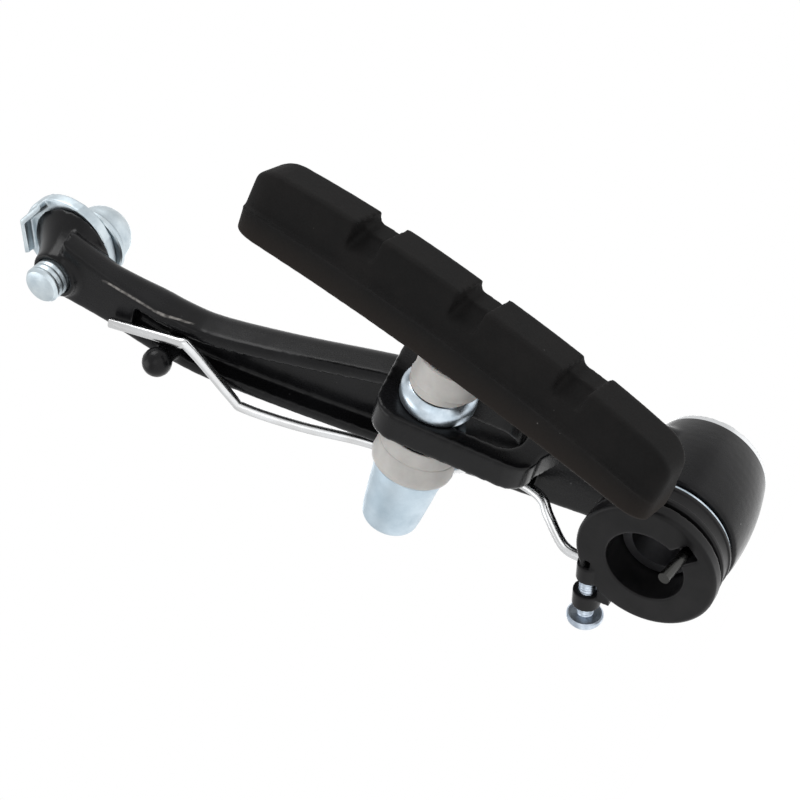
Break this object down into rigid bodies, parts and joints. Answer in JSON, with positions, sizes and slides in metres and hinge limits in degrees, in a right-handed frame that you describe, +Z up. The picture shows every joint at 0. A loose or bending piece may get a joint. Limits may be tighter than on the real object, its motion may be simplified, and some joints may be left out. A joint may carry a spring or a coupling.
{
  "type": "bicycle linear-pull brake arm",
  "caption": "One leaning black brake arm with pivot barrel and spring unit, cable clamp bolt, and a grooved rubber pad on an adjustable post with dome washers.",
  "frame": {"origin": "on the pivot's axis, where the arm's beam crosses the barrel", "axes": "+X to the rim, +Y along the pivot from the frame to the front, +Z up the arm"},
  "size_m": [0.0443, 0.0325, 0.1215],
  "materials": {
    "arm_black": "gloss black paint on a cast arm",
    "sleeve_steel": "dark steel",
    "ring_plastic": "satin black",
    "spring_wire": "bright drawn wire",
    "washer_steel": "zinc plated",
    "screw_zinc": "bluish zinc plate",
    "bolt_zinc": "bluish zinc plate",
    "nut_zinc": "bluish zinc plate",
    "cup_nylon": "pale grey",
    "pad_rubber": "matt black"
  },
  "bodies": {
    "post_unit": {"pivot_sleeve": "sleeve_steel", "spring_holder": "ring_plastic", "spring_cover": "ring_plastic", "pivot_washer": "washer_steel", "return_spring": "spring_wire"},
    "arm": {"arm": "arm_black"},
    "tension_screw": {"tension_screw": "screw_zinc"},
    "anchor_bolt": {"anchor_bolt": "bolt_zinc"},
    "clamp_washer": {"clamp_washer": "bolt_zinc"},
    "carriage": {"upper_dome_washer": "washer_steel", "lower_dome_washer": "washer_steel"},
    "cups": {"upper_cup_washer": "cup_nylon", "lower_cup_washer": "cup_nylon"},
    "pad": {"brake_pad": "pad_rubber", "pad_stud": "screw_zinc", "pad_nut": "nut_zinc"}
  },
  "joints": [
    {"name": "arm_pivot", "type": "hinge", "parent": "post_unit", "child": "arm", "pos_m": [0, 0, 0], "axis": [0, 1, 0], "range_deg": [-25, 5], "stiffness_Nm_per_rad": 0.35, "springref_deg": -20.05, "deforming": ["return_spring"]},
    {"name": "tension_turn", "type": "slide", "parent": "post_unit", "child": "tension_screw", "axis": [-0.9703, 0, -0.2419], "range_m": [-0.002, 0.0025]},
    {"name": "clamp_bolt", "type": "slide", "parent": "arm", "child": "anchor_bolt", "axis": [0, 1, 0], "range_m": [0, 0.004]},
    {"name": "clamp_plate", "type": "slide", "parent": "arm", "child": "clamp_washer", "axis": [0, 1, 0], "range_m": [0, 0.0025]},
    {"name": "pad_height", "type": "slide", "parent": "arm", "child": "carriage", "axis": [0, -0.1736, 0.9848], "range_m": [-0.01, 0.001]},
    {"name": "pad_toe", "type": "hinge", "parent": "carriage", "child": "cups", "pos_m": [0.0041, -0.01008, 0.03681], "axis": [0, 0, 1], "range_deg": [-11, 2]},
    {"name": "pad_turn", "type": "hinge", "parent": "cups", "child": "pad", "pos_m": [0.0041, -0.01008, 0.03681], "axis": [0.9816, 0.1908, 0], "continuous": true}
  ],
  "couplings": [
    {"joint": "clamp_plate", "follows": "clamp_bolt", "ratio": 0.6}
  ]
}
